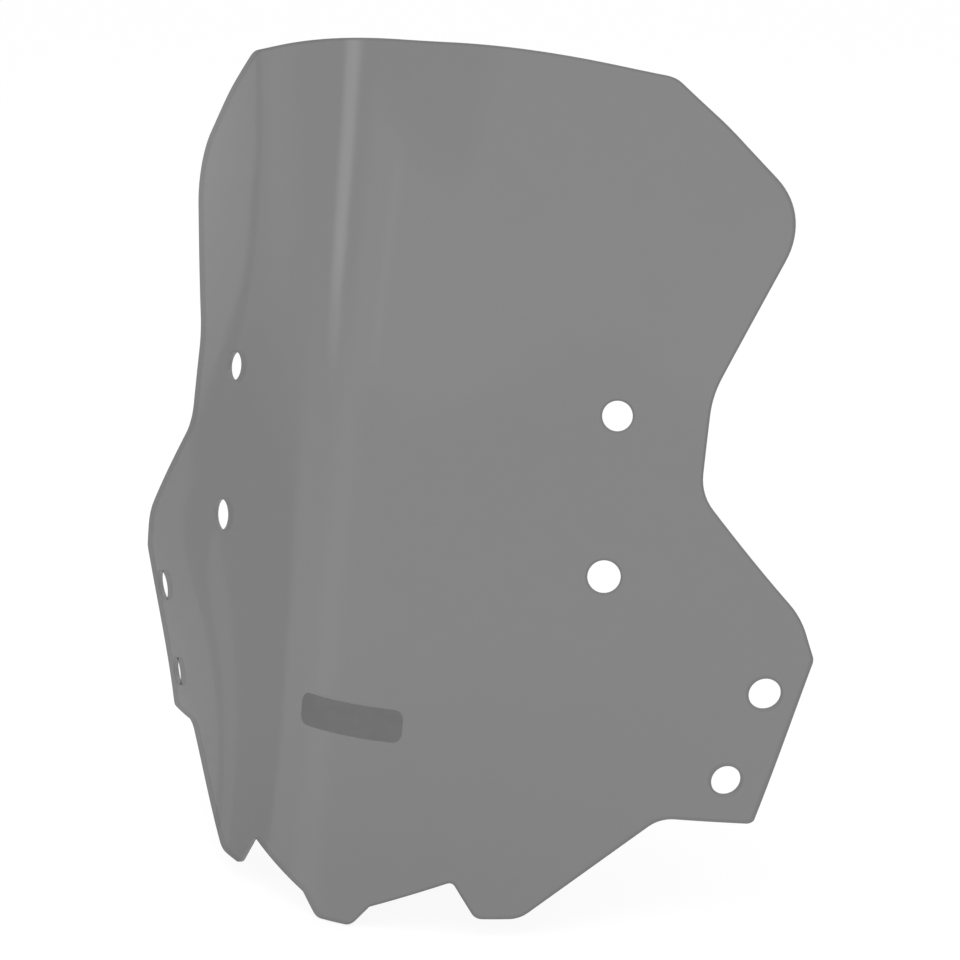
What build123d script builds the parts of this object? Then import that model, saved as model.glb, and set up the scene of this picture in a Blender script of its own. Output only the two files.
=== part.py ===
from build123d import *
from math import radians, sqrt, tan
import os

# Motorcycle windshield screen, in millimetres.
# One tinted acrylic sheet is heat-formed over a mould, trimmed to its outline and drilled with
# eight holes. A thin blank mark film is stuck on the front of its nose.
# X runs across the motorcycle, -Y is forward and +Z is up. Left and right are alike about X = 0.
# The origin is under the middle of the sheet's depth, level with its lowest edge.

# ---- Overall size and sheet ----
height = 450.0
width = 424.6                 # across the wing tips, before their corners are rounded
sheet_t = 3.0

# ---- Mould: the shape of the sheet's front face at its foot, half-way up and at its top ----
nose_back_middle = 40.5       # how far back the nose line has leaned from its foot
nose_back_top = 97.0
nose_radius_foot = 137.0      # bend of the sheet at the nose line
nose_radius_middle = 124.0
nose_radius_top = 234.0
flank_turn_foot = 64.8        # degrees that the flanks tend to turn back from straight across
flank_turn_middle = 33.2
flank_turn_top = 72.3
mould_margin = 12.0           # how far the mould runs past the outline
mould_pitch = 12.0            # spacing of the points that the front face is laid through

# ---- Outline seen from the front, on one side: its corners from the crown round to the lobe ----
crown_x = 60.0
crown_r = 420.0
top_corner_run = 68.4         # outwards from the corner before it, as are the other runs
top_corner_drop = 14.6        # down from the corner before it, as are the other drops
top_corner_r = 14.0
shoulder_break_run = 24.2
shoulder_break_drop = 24.0
shoulder_break_r = 180.0
shoulder_run = 37.8
shoulder_drop = 44.8
shoulder_r = 42.0
waist_x = 158.6
waist_length = 49.0           # the upright stretch of the waist
waist_upper_r = 55.0
waist_lower_z = 229.0
waist_lower_r = 30.0
wing_tip_z = 142.0
wing_tip_r = 8.0
wing_bend_rise = 23.0         # above the wing tip
wing_bend_inset = 5.8         # in from the wing tip, as are the other insets
wing_bend_r = 45.0
wing_foot_inset = 26.0
wing_foot_z = 51.3
wing_foot_r = 3.0
wing_foot_length = 37.3       # along the lower edge of the wing, in to the root of the tongue
tongue_root_rise = 7.4        # above the wing foot
tongue_root_r = 12.0
tongue_x = 94.0               # outer corner of the tongue
tongue_z = 9.5
tongue_outer_r = 12.0
tongue_width = 19.8
tongue_inner_r = 6.0
notch_inset = 12.2            # in from the inner corner of the tongue
notch_depth = 19.0            # above the tip of the tongue
notch_r = 3.0
lobe_root_x = 20.6
lobe_root_z = 11.5
lobe_root_r = 3.0
lobe_x = 10.5
lobe_r = 7.0

# ---- Holes: diameters, and half-spans and heights of their centres on the front face ----
upper_hole_d = 15.5           # four holes of the height-adjusting bracket
upper_hole_x = 118.0
upper_hole_z = 268.0
lower_hole_d = 17.0
lower_hole_x = 119.0
lower_hole_z = 187.0
wing_upper_hole_d = 17.0      # four holes of the side panels
wing_upper_hole_inset = 20.8
wing_upper_hole_drop = 18.0   # below the wing tip
wing_lower_hole_d = 16.0
wing_lower_hole_inset = 36.8
wing_lower_hole_rise = 25.7   # above the wing foot

# ---- Mark film ----
mark_width = 62.0
mark_height = 17.0
mark_corner_r = 5.0
mark_z = 107.0
mark_t = 0.15

half_width = width / 2
mould_reach = height          # deep enough, front to back, to cut through the whole mould


def between(foot, middle, top, z):
    """A size of the mould at height z, eased through its three stations."""
    t = 2 * z / height
    return foot * (t - 1) * (t - 2) / 2 - middle * t * (t - 2) + top * t * (t - 1) / 2


def front_y(x, z):
    """How far back the front face lies: the nose line, then a rounded V across it."""
    nose = between(0, nose_back_middle, nose_back_top, z)
    slope = tan(radians(between(flank_turn_foot, flank_turn_middle, flank_turn_top, z)))
    bend = between(nose_radius_foot, nose_radius_middle, nose_radius_top, z) * slope**2
    return nose + sqrt(bend**2 + (slope * x) ** 2) - bend


def front_point(x, z):
    return Vector(x, front_y(x, z), z)


def front_plane(x, z):
    """A plane that touches the front face at x and z, facing out of it."""
    step = 0.01
    across = front_point(x + step, z) - front_point(x - step, z)
    up = front_point(x, z + step) - front_point(x, z - step)
    return Plane(origin=front_point(x, z), x_dir=across, z_dir=across.cross(up))


# ---- Front face of the mould ----
columns = round((half_width + mould_margin) / mould_pitch)
rows = round((height + 2 * mould_margin) / mould_pitch)
column_step = (half_width + mould_margin) / columns
row_step = (height + 2 * mould_margin) / rows
mould_points = [
    [
        front_point(column * column_step, row * row_step - mould_margin)
        for column in range(-columns, columns + 1)
    ]
    for row in range(rows + 1)
]
mould_face = Face.make_surface_from_array_of_points(mould_points, tol=0.01, min_deg=3, max_deg=5)

# ---- Outline of the trimmed sheet ----
top_corner_x = crown_x + top_corner_run
top_corner_z = height - top_corner_drop
shoulder_break_x = top_corner_x + shoulder_break_run
shoulder_break_z = top_corner_z - shoulder_break_drop
shoulder_x = shoulder_break_x + shoulder_run
shoulder_z = shoulder_break_z - shoulder_drop
wing_bend_x = half_width - wing_bend_inset
wing_foot_x = half_width - wing_foot_inset
tongue_inner_x = tongue_x - tongue_width
corners = [
    (crown_x, height, crown_r),
    (top_corner_x, top_corner_z, top_corner_r),
    (shoulder_break_x, shoulder_break_z, shoulder_break_r),
    (shoulder_x, shoulder_z, shoulder_r),
    (waist_x, waist_lower_z + waist_length, waist_upper_r),
    (waist_x, waist_lower_z, waist_lower_r),
    (wing_bend_x, wing_tip_z + wing_bend_rise, wing_bend_r),
    (half_width, wing_tip_z, wing_tip_r),
    (wing_foot_x, wing_foot_z, wing_foot_r),
    (wing_foot_x - wing_foot_length, wing_foot_z + tongue_root_rise, tongue_root_r),
    (tongue_x, tongue_z, tongue_outer_r),
    (tongue_inner_x, tongue_z, tongue_inner_r),
    (tongue_inner_x - notch_inset, tongue_z + notch_depth, notch_r),
    (lobe_root_x, lobe_root_z, lobe_root_r),
    (lobe_x, 0, lobe_r),
]
with BuildPart() as outline_block:
    with BuildSketch(Plane.XZ):
        with BuildLine():
            right_half = [(0, height)] + [(x, z) for x, z, r in corners] + [(0, 0)]
            FilletPolyline(right_half, radius=[r for x, z, r in corners])
            mirror(about=Plane.YZ)
        make_face()
    extrude(amount=mould_reach, both=True)
sheet_face = mould_face.intersect(outline_block.part)[0]

# ---- Screen ----
wing_upper_hole_x = half_width - wing_upper_hole_inset
wing_upper_hole_z = wing_tip_z - wing_upper_hole_drop
wing_lower_hole_x = half_width - wing_lower_hole_inset
wing_lower_hole_z = wing_foot_z + wing_lower_hole_rise
holes = [
    (upper_hole_x, upper_hole_z, upper_hole_d),
    (lower_hole_x, lower_hole_z, lower_hole_d),
    (wing_upper_hole_x, wing_upper_hole_z, wing_upper_hole_d),
    (wing_lower_hole_x, wing_lower_hole_z, wing_lower_hole_d),
]
with BuildPart() as screen:
    thicken(sheet_face, amount=sheet_t, normal_override=(0, 1, 0))
    for x, z, diameter in holes:
        with Locations(front_plane(x, z), front_plane(-x, z)):
            Hole(radius=diameter / 2, depth=2 * sheet_t)

# ---- Mark film, on the front of the nose ----
with BuildPart() as mark_block:
    with BuildSketch(Plane.XZ):
        with Locations((0, mark_z)):
            RectangleRounded(mark_width, mark_height, mark_corner_r)
    extrude(amount=mould_reach, both=True)
mark_face = mould_face.intersect(mark_block.part)[0]
with BuildPart() as mark_film:
    thicken(mark_face, amount=mark_t, normal_override=(0, -1, 0))

# ---- Place both over the origin and write them ----
sheet_box = screen.part.bounding_box()
to_middle = Location((0, -sheet_box.center().Y, -sheet_box.min.Z))
screen.part = screen.part.moved(to_middle)
screen.part.label = "screen"
mark_film.part = mark_film.part.moved(to_middle)
mark_film.part.label = "mark_film"

os.makedirs("parts", exist_ok=True)
export_step(screen.part, "parts/screen.step")
export_step(mark_film.part, "parts/mark_film.step")
print("screen box", screen.part.bounding_box(), "volume", screen.part.volume)
print("moved by", to_middle.position)
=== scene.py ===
# %% [markdown]
# # A motorcycle windshield screen
# The real object is one sheet of smoke-tinted acrylic, 3 mm thick. It is cut to an outline, its
# edges are polished, eight holes are drilled, and it is bent over a hot mould. A thin film with
# nothing printed on it sits on the front of its nose. The scene makes both the same way: flat
# first, then bent, then given a finish, and lit as a product would be in a studio.

# %% Load the measured model
import math

import bpy
import numpy as np
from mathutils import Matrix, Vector
from mathutils.geometry import delaunay_2d_cdt


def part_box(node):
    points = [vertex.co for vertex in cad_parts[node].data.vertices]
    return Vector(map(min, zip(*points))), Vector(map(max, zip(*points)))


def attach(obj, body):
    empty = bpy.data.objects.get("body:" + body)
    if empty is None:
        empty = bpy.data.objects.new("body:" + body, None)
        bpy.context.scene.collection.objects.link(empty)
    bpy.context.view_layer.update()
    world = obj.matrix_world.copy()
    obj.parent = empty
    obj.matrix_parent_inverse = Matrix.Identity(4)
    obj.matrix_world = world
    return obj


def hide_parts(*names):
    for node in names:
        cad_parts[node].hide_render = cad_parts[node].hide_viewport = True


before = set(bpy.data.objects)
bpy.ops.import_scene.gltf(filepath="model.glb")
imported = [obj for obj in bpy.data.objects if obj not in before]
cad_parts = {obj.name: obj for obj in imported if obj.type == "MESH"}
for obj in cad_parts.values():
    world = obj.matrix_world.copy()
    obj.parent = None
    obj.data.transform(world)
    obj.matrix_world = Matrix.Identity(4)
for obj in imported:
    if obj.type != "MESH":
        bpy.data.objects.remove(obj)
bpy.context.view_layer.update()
screen_low, screen_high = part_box("screen")
print("the screen spans", tuple(round(size, 4) for size in screen_high - screen_low), "m")

# %% [markdown]
# ## One class for all node maths
# Node trees are sums in disguise. This small class wraps one output of a node, so that
# `1 - mask * 0.5` written in Python adds the Math nodes that say the same. One method adds any
# other kind of node: settings first, then the values or links of its inputs.

# %% A wire in a node tree
class Wire:
    """One output in a node tree. Arithmetic on it adds Math nodes to the same tree."""

    def __init__(self, tree, output=None):
        self.tree = tree
        self.output = output

    def node(self, kind, settings=None, inputs=None, output=0):
        """Adds a node and returns one of its outputs as a wire."""
        made = self.tree.nodes.new(kind)
        for name, value in (settings or {}).items():
            setattr(made, name, value)
        for name, value in (inputs or {}).items():
            if isinstance(value, Wire):
                self.tree.links.new(value.output, made.inputs[name])
            else:
                made.inputs[name].default_value = value
        return Wire(self.tree, made.outputs[output]) if made.outputs else None

    def math(self, operation, *values):
        return self.node("ShaderNodeMath", {"operation": operation}, dict(enumerate(values)))

    def __add__(self, other):
        return self.math("ADD", self, other)

    def __radd__(self, other):
        return self.math("ADD", other, self)

    def __sub__(self, other):
        return self.math("SUBTRACT", self, other)

    def __rsub__(self, other):
        return self.math("SUBTRACT", other, self)

    def __mul__(self, other):
        return self.math("MULTIPLY", self, other)

    def __rmul__(self, other):
        return self.math("MULTIPLY", other, self)

    def __truediv__(self, other):
        return self.math("DIVIDE", self, other)

    def __neg__(self):
        return self.math("MULTIPLY", self, -1)


def root(value):
    """The square root of a wire or of a number."""
    return value.math("SQRT", value) if isinstance(value, Wire) else math.sqrt(value)


def tangent(angle):
    """The tangent of a wire or of a number."""
    return angle.math("TANGENT", angle) if isinstance(angle, Wire) else math.tan(angle)


# %% [markdown]
# ## The mould
# The sheet takes its shape from a mould, and the mould follows a rule: a line that leans back up
# the nose, and across it a V whose point is rounded. Three stations, at the foot, half-way up and
# at the top, say how far it leans, how tightly it bends and how far its flanks turn back.
# The rule is written once, and works on plain numbers as well as on wires.

# %% The rule of the mould, in metres and radians
MM = 0.001
HEIGHT = 450 * MM
SHEET = 3 * MM
MOULD = {
    "Nose back middle": 40.5 * MM,
    "Nose back top": 97 * MM,
    "Nose radius foot": 137 * MM,
    "Nose radius middle": 124 * MM,
    "Nose radius top": 234 * MM,
    "Flank turn foot": math.radians(64.8),
    "Flank turn middle": math.radians(33.2),
    "Flank turn top": math.radians(72.3),
}


def between(foot, middle, top, up):
    """A size of the mould at a height, eased through its three stations."""
    share = up * (2 / HEIGHT)
    foot_part = foot * ((share - 1) * (share - 2)) * 0.5
    middle_part = middle * (share * (share - 2))
    top_part = top * (share * (share - 1)) * 0.5
    return foot_part - middle_part + top_part


def mould_depth(across, up, mould):
    """How far back the front of the mould lies, at a place across and up it."""
    nose = between(0, mould["Nose back middle"], mould["Nose back top"], up)
    radius = between(*(mould["Nose radius " + at] for at in ("foot", "middle", "top")), up)
    slope = tangent(between(*(mould["Flank turn " + at] for at in ("foot", "middle", "top")), up))
    bend = radius * slope * slope
    run = slope * across
    return nose + root(bend * bend + run * run) - bend


print("half-way up, the mould's nose lies", round(mould_depth(0, HEIGHT / 2, MOULD), 4), "m back")

# %% [markdown]
# ## The outline
# An outline is a list of corners, each with its own rounding, the way a template is drawn. Each
# rounding is a true arc that touches both its straight runs. Only one half is listed, and the
# other half is its mirror image.

# %% Corners of one half, from the crown round to the lobe at the foot
UPPER_CORNERS = [
    (60.0, 450.0, 420.0),
    (128.4, 435.4, 14.0),
    (152.6, 411.4, 180.0),
    (190.4, 366.6, 42.0),
    (158.6, 278.0, 55.0),
    (158.6, 229.0, 30.0),
]
WING_CORNERS = [(206.5, 165.0, 45.0), (212.3, 142.0, 8.0), (186.3, 51.3, 3.0), (149.0, 58.7, 12.0)]
FOOT_CORNERS = [
    (94.0, 9.5, 12.0),
    (74.2, 9.5, 6.0),
    (62.0, 28.5, 3.0),
    (20.6, 11.5, 3.0),
    (10.5, 0.0, 7.0),
]
STEP = 3 * MM


def arc(before, corner, after, radius):
    """Points of the arc that rounds one corner."""
    to_before = (before - corner).normalized()
    to_after = (after - corner).normalized()
    half = to_before.angle(to_after) / 2
    centre = corner + (to_before + to_after).normalized() * radius / math.sin(half)
    start = corner + to_before * radius / math.tan(half) - centre
    turn = (math.pi - 2 * half) * (1 if to_before.cross(to_after) < 0 else -1)
    count = max(3, math.ceil(abs(turn) * max(radius / STEP, 7)))
    points = []
    for step in range(count + 1):
        angle = turn * step / count
        c, s = math.cos(angle), math.sin(angle)
        points.append(centre + Vector((start.x * c - start.y * s, start.x * s + start.y * c)))
    return points


def rounded(corners, closed):
    """Points along a run of corners with rounded ones, at most one step apart."""
    places = [Vector((x, z)) * MM for x, z, _ in corners]
    line = []
    for index, (_, _, radius) in enumerate(corners):
        at_end = index in (0, len(corners) - 1)
        if at_end and not closed:
            line.append(places[index])
        else:
            following = places[(index + 1) % len(places)]
            line += arc(places[index - 1], places[index], following, radius * MM)
    spaced = []
    for here, there in zip(line, line[1:] + line[:1]):
        gaps = max(1, math.ceil((there - here).length / STEP))
        spaced += [here.lerp(there, gap / gaps) for gap in range(gaps)]
    return spaced if closed else spaced[: -max(1, math.ceil((line[0] - line[-1]).length / STEP))]


half_line = rounded([(0, 450.0, 0)] + UPPER_CORNERS + WING_CORNERS + FOOT_CORNERS + [(0, 0.0, 0)], False)
half_line.append(Vector((0, 0)))
mirrored = [Vector((-point.x, point.y)) for point in reversed(half_line[1:-1])]
outline = list(reversed(half_line + mirrored))
print("the outline has", len(outline), "points")

# %% [markdown]
# ## The holes
# A round drill that goes in square to a bent sheet leaves a hole that looks narrower from
# straight ahead. So each circle is drawn on the plane that touches the mould at its centre, and
# its points are then laid flat with the rest of the blank.

# %% Eight drilled holes: half-span, height and diameter
HOLES = [(118.0, 268.0, 15.5), (119.0, 187.0, 17.0), (191.5, 124.0, 17.0), (175.5, 77.0, 16.0)]
HOLE_STEPS = 48
NUDGE = 0.2 * MM


def drilled(across, up, diameter):
    """The flat outline of a hole that is drilled square to the bent sheet."""
    depth = mould_depth(across, up, MOULD)
    lean_across = (mould_depth(across + NUDGE, up, MOULD) - depth) / NUDGE
    lean_up = (mould_depth(across, up + NUDGE, MOULD) - depth) / NUDGE
    first = Vector((1, lean_across, 0)).normalized()
    square = first.cross(Vector((0, lean_up, 1))).normalized()
    second = square.cross(first)
    loop = []
    for step in range(HOLE_STEPS):
        angle = 2 * math.pi * step / HOLE_STEPS
        place = (first * math.cos(angle) + second * math.sin(angle)) * diameter / 2
        loop.append(Vector((across + place.x, up + place.z)))
    return loop


holes = [
    drilled(side * across * MM, up * MM, diameter * MM)
    for across, up, diameter in HOLES
    for side in (-1, 1)
]
print("the blank has", len(holes), "holes of", HOLE_STEPS, "points")

# %% [markdown]
# ## A flat blank with polished edges
# The blank could be a filled curve with a Bevel modifier, but its broad faces would then be one
# huge polygon that can't bend. Here the faces are filled with a lattice of small triangles, and
# each edge is a few rings that step round a small radius, as flame polishing leaves it.

# %% Fill a face with small triangles
LATTICE = 4 * MM
SAME_PLACE = 1e-7


def turned(loop, clockwise):
    """The loop with its points in the asked direction."""
    area = sum(here.cross(there) for here, there in zip(loop, loop[1:] + loop[:1]))
    return loop if (area < 0) == clockwise else list(reversed(loop))


def inset(loop, amount):
    """The loop moved into the material, which lies on its left."""
    moved = []
    for before, here, after in zip(loop[-1:] + loop[:-1], loop, loop[1:] + loop[:1]):
        along = (here - before).normalized() + (after - here).normalized()
        moved.append(here + Vector((-along.y, along.x)).normalized() * amount)
    return moved


def within(points, loop):
    """Which points lie inside a loop, counting the edges that each one looks across."""
    found = np.zeros(len(points), bool)
    for here, there in zip(loop, loop[1:] + loop[:1]):
        if here.y == there.y:
            continue
        crosses = (points[:, 1] < here.y) != (points[:, 1] < there.y)
        at = here.x + (points[:, 1] - here.y) / (there.y - here.y) * (there.x - here.x)
        found ^= crosses & (points[:, 0] < at)
    return found


def lattice(loops):
    """Points of a triangular lattice that lie on the blank, clear of its edges."""
    edge = np.array([point for loop in loops for point in loop])
    low, high = edge.min(0), edge.max(0)
    rows = int((high[1] - low[1]) / (LATTICE * math.sqrt(0.75))) + 1
    columns = int((high[0] - low[0]) / LATTICE) + 2
    row, column = np.mgrid[0:rows, 0:columns]
    points = np.stack([column + row % 2 * 0.5, row * math.sqrt(0.75)], -1).reshape(-1, 2)
    points = points * LATTICE + low
    keep = within(points, loops[0])
    for loop in loops[1:]:
        keep &= ~within(points, loop)
    points = points[keep]
    gap = np.array([np.hypot(*(edge - point).T).min() for point in points])
    return points[gap > LATTICE * 0.6]


def filled(borders):
    """Points and triangles of a flat face, and where each point of its borders went."""
    fill = [point for border in borders for point in border]
    edges = []
    for border in borders:
        first = len(edges)
        edges += [(first + i, first + (i + 1) % len(border)) for i in range(len(border))]
    fill += [Vector(point) for point in lattice(borders)]
    flat, _, triangles, sources, _, _ = delaunay_2d_cdt(fill, edges, [], 1, SAME_PLACE)
    place = {source: index for index, found in enumerate(sources) for source in found}
    centres = np.array([sum((flat[i] for i in face), Vector((0, 0))) / 3 for face in triangles])
    in_hole = np.zeros(len(centres), bool)
    for border in borders[1:]:
        in_hole |= within(centres, border)
    return flat, [face for face, hidden in zip(triangles, in_hole) if not hidden], place


print("the lattice is", round(LATTICE / MM, 1), "mm apart")

# %% [markdown]
# The front and the back use the same triangles, the back's turned round to face the other way.
# The rings between them carry an attribute, so that the finish can tell the edge from the face.

# %% Rings round each edge of a flat blank
EDGE_TURNS = 3
EDGE_RADIUS, EDGE_MARGIN = 0.7 * MM, 0.5 * MM


def edge_profile(front, back, radius, margin):
    """Steps from the front face round to the back face: how far in, and how deep."""
    turns = [math.pi / 2 * turn / EDGE_TURNS for turn in range(EDGE_TURNS + 1)]
    steps = [(radius + margin, front)]
    steps += [(radius * (1 - math.sin(turn)), front + radius * (1 - math.cos(turn))) for turn in turns]
    return steps + [(into, front + back - depth) for into, depth in reversed(steps)]


def flat_blank(name, loops, front, back, radius, margin):
    """A closed flat solid: two filled faces, and rings round each edge."""
    loops = [turned(loop, clockwise=index > 0) for index, loop in enumerate(loops)]
    profile = edge_profile(front, back, radius, margin)
    flat, triangles, place = filled([inset(loop, profile[0][0]) for loop in loops])
    points = [(at.x, front, at.y) for at in flat] + [(at.x, back, at.y) for at in flat]
    faces = [tuple(face) for face in triangles]
    faces += [tuple(len(flat) + i for i in reversed(face)) for face in triangles]
    on_edge = [0.0] * len(points)
    first = 0
    for loop in loops:
        rings = [[place[first + i] for i in range(len(loop))]]
        for into, depth in profile[1:-1]:
            rings.append(list(range(len(points), len(points) + len(loop))))
            points += [(at.x, depth, at.y) for at in inset(loop, into)]
            on_edge += [1.0] * len(loop)
        rings.append([len(flat) + i for i in rings[0]])
        first += len(loop)
        for ahead, behind in zip(rings, rings[1:]):
            for i in range(len(loop)):
                j = (i + 1) % len(loop)
                faces.append((ahead[i], behind[i], behind[j], ahead[j]))
    mesh = bpy.data.meshes.new(name)
    mesh.from_pydata(points, [], faces)
    mesh.validate()
    mesh.polygons.foreach_set("use_smooth", [True] * len(mesh.polygons))
    mesh.attributes.new("edge", "FLOAT", "POINT").data.foreach_set("value", on_edge)
    return bpy.data.objects.new(name, mesh)


def link(made):
    """Puts an object in the scene."""
    bpy.context.scene.collection.objects.link(made)
    return made


sheet_blank = link(flat_blank("sheet_blank", [outline] + holes, 0, SHEET, EDGE_RADIUS, EDGE_MARGIN))
print("the flat sheet has", len(sheet_blank.data.polygons), "faces")

# %% [markdown]
# ## The blank mark film
# The real screen has a film mark on its nose. This one is generic: a plain bar with rounded corners
# and nothing printed on it. It is cut flat like the sheet. It stands a hair in front of the sheet, as
# two faces in the same place would flicker through each other.

# %% The film, cut flat
FILM_WIDTH, FILM_HEIGHT, FILM_RADIUS = 62.0, 17.0, 5.0
FILM_MIDDLE = 107.0
FILM_FRONT, FILM_BACK = -0.14 * MM, -0.02 * MM
FILM_EDGE, FILM_MARGIN = 0.03 * MM, 0.3 * MM
film_outline = rounded(
    [
        (x * FILM_WIDTH / 2, FILM_MIDDLE + z * FILM_HEIGHT / 2, FILM_RADIUS)
        for x, z in ((-1, -1), (1, -1), (1, 1), (-1, 1))
    ],
    True,
)
film_blank = link(flat_blank("film_blank", [film_outline], FILM_FRONT, FILM_BACK, FILM_EDGE, FILM_MARGIN))
print("the flat film has", len(film_blank.data.polygons), "faces")

# %% [markdown]
# ## Bending over the mould
# Geometry Nodes do the bending, because it follows a rule: each point keeps its place across and
# up, goes back to the mould, and keeps its depth square to the mould's face. The mould's sizes
# are named inputs of the tree, so the same tree bends the sheet and the film, and would bend the
# next screen of the family.

# %% The tree that bends a flat blank
def bending_tree():
    """A tree that lays a flat blank over the mould and gives it a finish."""
    tree = bpy.data.node_groups.new("bend_over_mould", "GeometryNodeTree")
    tree.interface.new_socket("Blank", in_out="INPUT", socket_type="NodeSocketGeometry")
    for size in MOULD:
        tree.interface.new_socket(size, in_out="INPUT", socket_type="NodeSocketFloat")
    tree.interface.new_socket("Finish", in_out="INPUT", socket_type="NodeSocketMaterial")
    tree.interface.new_socket("Bent", in_out="OUTPUT", socket_type="NodeSocketGeometry")
    given = tree.nodes.new("NodeGroupInput")
    wires = {socket.name: Wire(tree, socket) for socket in given.outputs if socket.name}
    start = Wire(tree)
    place = start.node("GeometryNodeInputPosition")
    split = tree.nodes.new("ShaderNodeSeparateXYZ")
    tree.links.new(place.output, split.inputs[0])
    across, thick, up = (Wire(tree, socket) for socket in split.outputs)

    depth = mould_depth(across, up, wires)
    lean_across = (mould_depth(across + NUDGE, up, wires) - depth) / NUDGE
    lean_up = (mould_depth(across, up + NUDGE, wires) - depth) / NUDGE
    back = thick / root(lean_across * lean_across + lean_up * lean_up + 1)
    where = {0: across - back * lean_across, 1: depth + back, 2: up - back * lean_up}
    position = start.node("ShaderNodeCombineXYZ", inputs=where)
    moved = {"Geometry": wires["Blank"], "Position": position}
    shape = start.node("GeometryNodeSetPosition", inputs=moved)
    shape = start.node("GeometryNodeRealizeInstances", inputs={"Geometry": shape})
    covered = {"Geometry": shape, "Material": wires["Finish"]}
    shape = start.node("GeometryNodeSetMaterial", inputs=covered)
    start.node("NodeGroupOutput", inputs={"Bent": shape})
    return tree


bend = bending_tree()
print("the bending tree has", len(bend.nodes), "nodes")

# %% [markdown]
# The modifier's inputs are set before the object is first looked at. The result is then read off
# as a plain mesh, and the flat blank is thrown away.

# %% Bend a blank and keep the result
def bent(name, blank, finish):
    """The plain mesh that a flat blank becomes on the mould."""
    modifier = blank.modifiers.new("bend", "NODES")
    modifier.node_group = bend
    for socket in bend.interface.items_tree:
        if socket.in_out == "INPUT" and socket.name in MOULD:
            modifier[socket.identifier] = MOULD[socket.name]
        if socket.name == "Finish":
            modifier[socket.identifier] = finish
    shaped = blank.evaluated_get(bpy.context.evaluated_depsgraph_get())
    mesh = bpy.data.meshes.new_from_object(shaped)
    mesh.name = name
    blank.modifiers.remove(modifier)
    bpy.data.objects.remove(blank)
    return link(bpy.data.objects.new(name, mesh))


def corners_of(mesh):
    """Lowest and highest corner of a mesh."""
    places = np.zeros(len(mesh.vertices) * 3)
    mesh.vertices.foreach_get("co", places)
    places = places.reshape(-1, 3)
    return Vector(places.min(0)), Vector(places.max(0))

# %% [markdown]
# ## Smoked acrylic
# Tinted acrylic could be a glass shader with a dark volume in it. In a sheet this thin nothing
# seen through it is bent, so a dark, glossy surface that lets part of the light straight through
# gives the same look, keeps its tint in other viewers, and throws a grey shadow. Light crosses two
# faces, so each one lets through the square root of what the sheet does. The polished edges are
# looked into the long way, and are darker. Faint ripples are left by the heat of the mould.

# %% The finish of the sheet
SHEET_PASSES = 0.203
EDGE_PASSES = 0.40
ACRYLIC_IOR = 1.49
SMOKE_DARK, SMOKE_LIGHT = (0.010, 0.010, 0.011, 1), (0.016, 0.016, 0.017, 1)
RIPPLES_TO_A_METRE, RIPPLE_DEPTH = 14.0, 0.4 * MM
WIPES_TO_A_METRE = 55.0
MIX_COLOR_A, MIX_COLOR_B, MIX_COLOR_RESULT = 6, 7, 2


def new_finish(name):
    """An empty material, and a wire to start its tree from."""
    material = bpy.data.materials.new(name)
    material.use_nodes = True
    material.node_tree.nodes.clear()
    return material, Wire(material.node_tree)


def noise(start, place, scale, detail=2.0):
    """Soft random cloud from 0 to 1, so many to a metre."""
    inputs = {"Vector": place, "Scale": scale, "Detail": detail}
    return start.node("ShaderNodeTexNoise", inputs=inputs, output="Fac")


def bump(start, height, distance, strength=1.0):
    """Small relief that bends the light and not the mesh."""
    inputs = {"Height": height, "Distance": distance, "Strength": strength}
    return start.node("ShaderNodeBump", inputs=inputs)


def greys(start, share, dark, light):
    """A colour between two others."""
    inputs = {"Factor": share, MIX_COLOR_A: dark, MIX_COLOR_B: light}
    return start.node("ShaderNodeMix", {"data_type": "RGBA"}, inputs, output=MIX_COLOR_RESULT)


def output_surface(start, shader):
    """Ends a material's tree."""
    start.node("ShaderNodeOutputMaterial", inputs={"Surface": shader})


def smoked_acrylic():
    """Dark gloss that lets part of the light straight through."""
    material, start = new_finish("smoked_acrylic")
    place = start.node("ShaderNodeTexCoord", output="Object")
    edge = start.node("ShaderNodeAttribute", {"attribute_name": "edge"}, output="Fac")
    ripples = noise(start, place, RIPPLES_TO_A_METRE)
    wiped = noise(start, place, WIPES_TO_A_METRE, detail=6.0)
    face_alpha = 1 - math.sqrt(SHEET_PASSES)
    shader = start.node(
        "ShaderNodeBsdfPrincipled",
        inputs={
            "Base Color": greys(start, wiped, SMOKE_DARK, SMOKE_LIGHT),
            "Roughness": 0.02 + wiped * 0.05 + edge * 0.10,
            "Alpha": face_alpha + edge * (1 - EDGE_PASSES - face_alpha),
            "IOR": ACRYLIC_IOR,
            "Normal": bump(start, ripples, RIPPLE_DEPTH),
        },
    )
    output_surface(start, shader)
    return material


acrylic = smoked_acrylic()
print("each face of the sheet lets through", round(math.sqrt(SHEET_PASSES), 3))

# %% [markdown]
# ## Film vinyl
# The film is matt, so it shows as a darker patch that reflects nothing. A fine grain breaks up
# its surface, and its print is a little uneven, as a screen-printed solid is.

# %% The finish of the film
FILM_DARK, FILM_LIGHT = (0.135, 0.135, 0.138, 1), (0.165, 0.165, 0.168, 1)
GRAINS_TO_A_METRE, GRAIN_DEPTH = 2600.0, 0.03 * MM
CLOUDS_TO_A_METRE = 160.0


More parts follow.
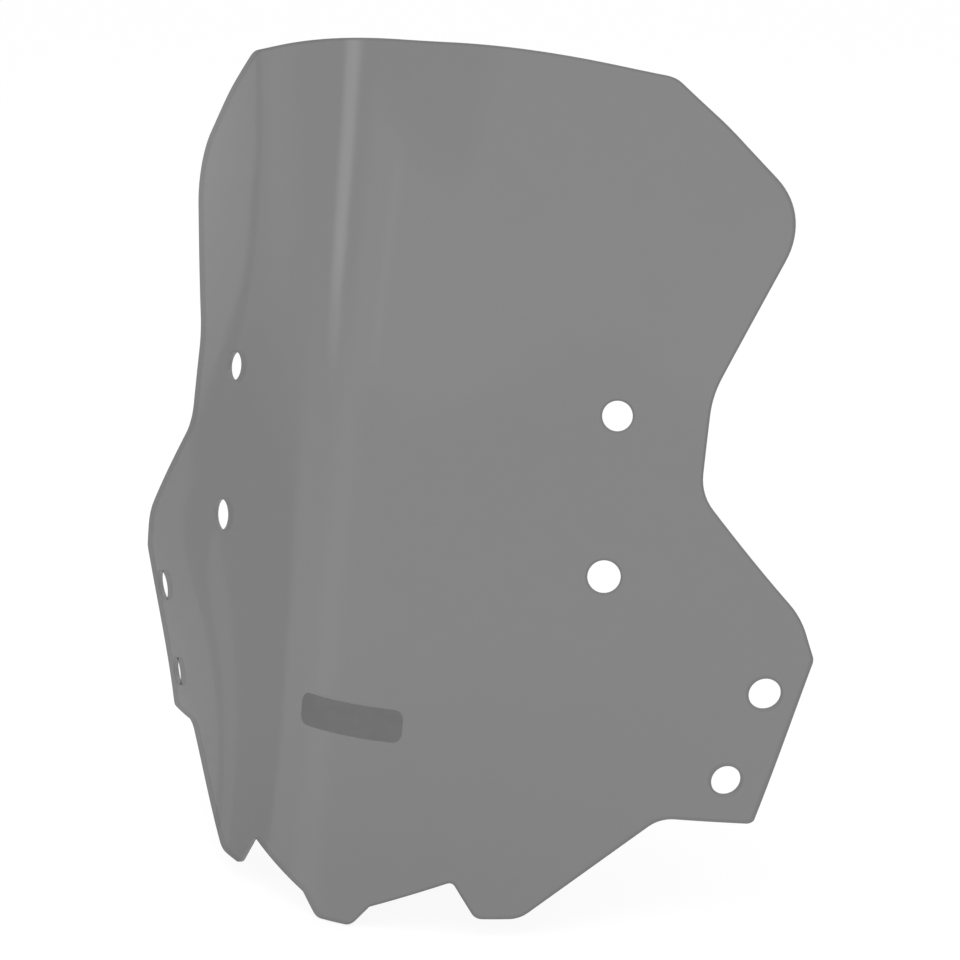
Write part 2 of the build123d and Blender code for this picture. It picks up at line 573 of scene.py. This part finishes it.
def film_vinyl():
    """Matt grey with a fine grain."""
    material, start = new_finish("film_vinyl")
    place = start.node("ShaderNodeTexCoord", output="Object")
    grain = noise(start, place, GRAINS_TO_A_METRE)
    cloud = noise(start, place, CLOUDS_TO_A_METRE, detail=4.0)
    shader = start.node(
        "ShaderNodeBsdfPrincipled",
        inputs={
            "Base Color": greys(start, cloud, FILM_DARK, FILM_LIGHT),
            "Roughness": 0.42 + cloud * 0.12,
            "Normal": bump(start, grain, GRAIN_DEPTH, 0.6),
        },
    )
    output_surface(start, shader)
    return material


vinyl = film_vinyl()
print("the film's finish has", len(vinyl.node_tree.nodes), "nodes")

# %% [markdown]
# ## Putting the two pieces in their places
# The mould's own frame starts at the foot of the nose. The measured model stands over its middle
# instead, so both bent pieces slide by the same amount, taken from the measured sheet: its nose's
# foot is its foremost place, and its crown is its highest.

# %% Bend both blanks and move their meshes
slide = Vector((0, screen_low.y, screen_high.z - HEIGHT))


def finished(name, blank, finish, node):
    """Bends a blank, moves it to its place, hangs it on the root body and hides the measured part it
    replaces.
    """
    piece = bent(name, blank, finish)
    for vertex in piece.data.vertices:
        vertex.co += slide
    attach(piece, "root")
    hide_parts(node)
    low, high = corners_of(piece.data)
    print(name, "spans", tuple(round(size, 4) for size in high - low), "m")
    return piece


finished("bent_screen", sheet_blank, acrylic, "screen")
finished("blank_mark", film_blank, vinyl, "mark_film")

# %% [markdown]
# ## Floor and daylight
# The floor is plain and pale. A camera sees it mostly as a white that gives its own light, and in
# part as a real white surface, so that it still shows a soft shadow. It looks the same through
# the sheet. Reflections don't see it, because the glowing ring of the next step, with its painted
# reflections, takes its place there. The world works in the same way: white where it is seen, and
# a little lower as a light.

# %% White floor and white world
FLOOR_HALF = 20.0
FLOOR_GLOW = 0.80
FLOOR_PAINT = 0.86
FLOOR_WHITE = 1.07
DAYLIGHT = 0.80


def seen(start):
    """1 where a camera, a reflection or a ray through the sheet looks, otherwise 0."""
    kinds = ("Is Camera Ray", "Is Glossy Ray", "Is Transmission Ray")
    camera, glossy, through = (start.node("ShaderNodeLightPath", output=kind) for kind in kinds)
    return camera + glossy + through


def floor_white():
    """White paint that also gives its own light where it is seen."""
    material, start = new_finish("floor_white")
    plain = start.node("ShaderNodeBsdfDiffuse", inputs={"Color": (FLOOR_PAINT,) * 3 + (1,)})
    glow = start.node("ShaderNodeEmission", inputs={"Color": (1, 1, 1, 1), "Strength": FLOOR_WHITE})
    inputs = {0: seen(start) * FLOOR_GLOW, 1: plain, 2: glow}
    output_surface(start, start.node("ShaderNodeMixShader", inputs=inputs))
    return material


def staged(name, points, faces, finish):
    """A mesh that belongs to the studio and not to the object."""
    mesh = bpy.data.meshes.new(name)
    mesh.from_pydata(points, [], faces)
    mesh.materials.append(finish)
    made = link(bpy.data.objects.new(name, mesh))
    return made


square = [(-1, -1), (1, -1), (1, 1), (-1, 1)]
staged("floor", [(x * FLOOR_HALF, y * FLOOR_HALF, 0) for x, y in square], [(0, 1, 2, 3)], floor_white())

world = bpy.data.worlds.new("daylight")
world.use_nodes = True
world.node_tree.nodes.clear()
start = Wire(world.node_tree)
sky = {"Color": (1, 1, 1, 1), "Strength": DAYLIGHT + seen(start) * (1 - DAYLIGHT)}
start.node("ShaderNodeOutputWorld", inputs={"Surface": start.node("ShaderNodeBackground", inputs=sky)})
bpy.context.scene.world = world
print("the floor is", 2 * FLOOR_HALF, "m wide")

# %% [markdown]
# ## A grey surround for the gloss
# A glossy sheet in a white room turns milky where it is seen at a flat angle. A photographer puts
# grey cards out of shot, so that the sheet mirrors those instead, and one tall lamp to draw a
# bright line down its bend. The ring here stands in for both, and glows: its tone is painted light
# and shade for the sheet to mirror, with grey bands in place of the cards, a bright strip as a
# painted highlight in place of the lamp, and darker bands and a dark line as painted shade. Only
# reflections see it, so it neither blocks a view nor adds light to the floor. A band lies between
# two directions, in degrees from straight ahead, with minus to the rider's right, and it may fade
# out at a height in metres. The bands are set for the camera of this scene, so other views reflect
# them less tidily.

# %% Glowing ring of painted reflections, with one painted bright strip
RING_RADIUS = 1.6
RING_LOW, RING_HIGH = -1.6, 1.7
RING_SIDES = 96
PAINTED_GREY_LEFT, PAINTED_GREY_RIGHT = 0.46, 0.84
UPPER_PAINTED_GLOW, LOWER_PAINTED_GLOW = 0.42, 0.30
CROWN_SHADE = 0.36
BRIGHT_STRIP, THIN_STRIP, FLANK_STRIP = 1.9, 0.35, 0.12
FLANK_SHADE, FAR_SHADE = 0.58, 0.29
DARK_LINE, DARK_LINE_FOOT = 0.34, 0.14


def rise(value, low, high):
    """From 0 to 1 as the value passes from low to high."""
    inputs = {"Value": value, "From Min": low, "From Max": high}
    return value.node("ShaderNodeMapRange", {"interpolation_type": "SMOOTHSTEP"}, inputs)


def band(value, low, high, soft):
    """1 between low and high, easing to 0 on both sides."""
    return rise(value, low - soft, low + soft) * (1 - rise(value, high - soft, high + soft))


def painted_reflection_ring():
    """The glow of the ring, painted light and shade for the sheet to mirror: one grey ramp, with brighter
    bands and strips as painted highlights and darker bands as painted shade laid over it.
    """
    material, start = new_finish("painted_reflection_ring")
    place = start.node("ShaderNodeTexCoord", output="Object")
    split = start.tree.nodes.new("ShaderNodeSeparateXYZ")
    start.tree.links.new(place.output, split.inputs[0])
    across, back, up = (Wire(start.tree, socket) for socket in split.outputs)
    turn = start.math("ARCTAN2", across, -back) * math.degrees(1)
    upper = rise(up, 0.46, 0.62)
    lower_left = 1 - rise(up, 0.05, 0.50)
    dark_line_turn = turn + (1 - rise(up, -0.26, 0.02)) * 6
    # Painted reflection: the ring glows at a grey tone that rises across it, and the bands below add
    # painted highlights and painted shade for the sheet to mirror.
    tone = PAINTED_GREY_LEFT + rise(turn, -95, -25) * (PAINTED_GREY_RIGHT - PAINTED_GREY_LEFT)
    tone = tone + upper * rise(turn, -53, -45) * UPPER_PAINTED_GLOW
    tone = tone - rise(up, 0.87, 0.96) * band(turn, -50, -10, 6) * CROWN_SHADE
    tone = tone + rise(up, 0.36, 0.62) * band(turn, -60.5, -55.5, 1.6) * BRIGHT_STRIP
    tone = tone + upper * (1 - rise(up, 0.84, 0.92)) * band(turn, -38, -34.5, 1.2) * THIN_STRIP
    tone = tone + (1 - upper) * band(turn, -53, -39, 6) * LOWER_PAINTED_GLOW
    tone = tone + band(turn, -88, -79, 3) * rise(up, 0.25, 0.40) * FLANK_STRIP
    tone = tone - band(turn, -91, -69, 2.5) * lower_left * FLANK_SHADE
    tone = tone - band(turn, -150, -91, 3) * (1 - rise(up, 0.0, 0.35)) * FAR_SHADE
    # Painted shade: a dark line, shifted near its foot, for the sheet to mirror.
    tone = tone - band(dark_line_turn, -93.8, -91.4, 0.8) * (DARK_LINE + lower_left * DARK_LINE_FOOT)
    tone = tone.math("MAXIMUM", tone, 0)
    glow = start.node("ShaderNodeEmission", inputs={"Color": tone, "Strength": 1.0})
    output_surface(start, glow)
    return material


ring_points = []
for side in range(RING_SIDES):
    angle = 2 * math.pi * side / RING_SIDES
    for up in (RING_LOW, RING_HIGH):
        ring_points.append((RING_RADIUS * math.cos(angle), RING_RADIUS * math.sin(angle), up))
ring_faces = []
for side in range(RING_SIDES):
    low, next_low = 2 * side, 2 * ((side + 1) % RING_SIDES)
    ring_faces.append((low, low + 1, next_low + 1, next_low))
ring = staged("glowing_ring_of_painted_reflections", ring_points, ring_faces, painted_reflection_ring())
for kind in ("camera", "diffuse", "transmission", "volume_scatter", "shadow"):
    setattr(ring, "visible_" + kind, False)
bpy.data.objects["floor"].visible_glossy = False
print("the ring of cards has", len(ring_faces), "sides")

# %% [markdown]
# ## Lamp and camera
# One broad lamp overhead gives the soft shadow. The camera is a long lens at a distance, a little
# above the screen and off to the rider's left, so the nose is turned past it.

# %% One lamp and the camera
LAMP_PLACE = Vector((0.3, -0.3, 2.4))
LAMP_SIZE = 2.2
LAMP_POWER = 15.0
CAMERA_PLACE = Vector((737.25, -1115.89, 591.75)) * MM + slide
CAMERA_AZIMUTH, CAMERA_ELEVATION = 30.127, 14.780
CAMERA_LENS = 103.18

lamp = bpy.data.lights.new("overhead_lamp", "AREA")
lamp.shape = "DISK"
lamp.size = LAMP_SIZE
lamp.energy = LAMP_POWER
lamp_object = link(bpy.data.objects.new("overhead_lamp", lamp))
lamp_object.location = LAMP_PLACE
lamp_object.rotation_euler = (-LAMP_PLACE).to_track_quat("-Z", "Y").to_euler()

camera = bpy.data.cameras.new("camera")
camera.lens = CAMERA_LENS
camera_object = link(bpy.data.objects.new("camera", camera))
camera_object.location = CAMERA_PLACE
tilt = math.radians(90 - CAMERA_ELEVATION)
camera_object.rotation_euler = (tilt, 0, math.radians(CAMERA_AZIMUTH))
bpy.context.scene.camera = camera_object
bpy.context.scene.view_settings.view_transform = "Standard"
print("the camera stands", round(CAMERA_PLACE.length, 3), "m from the origin")
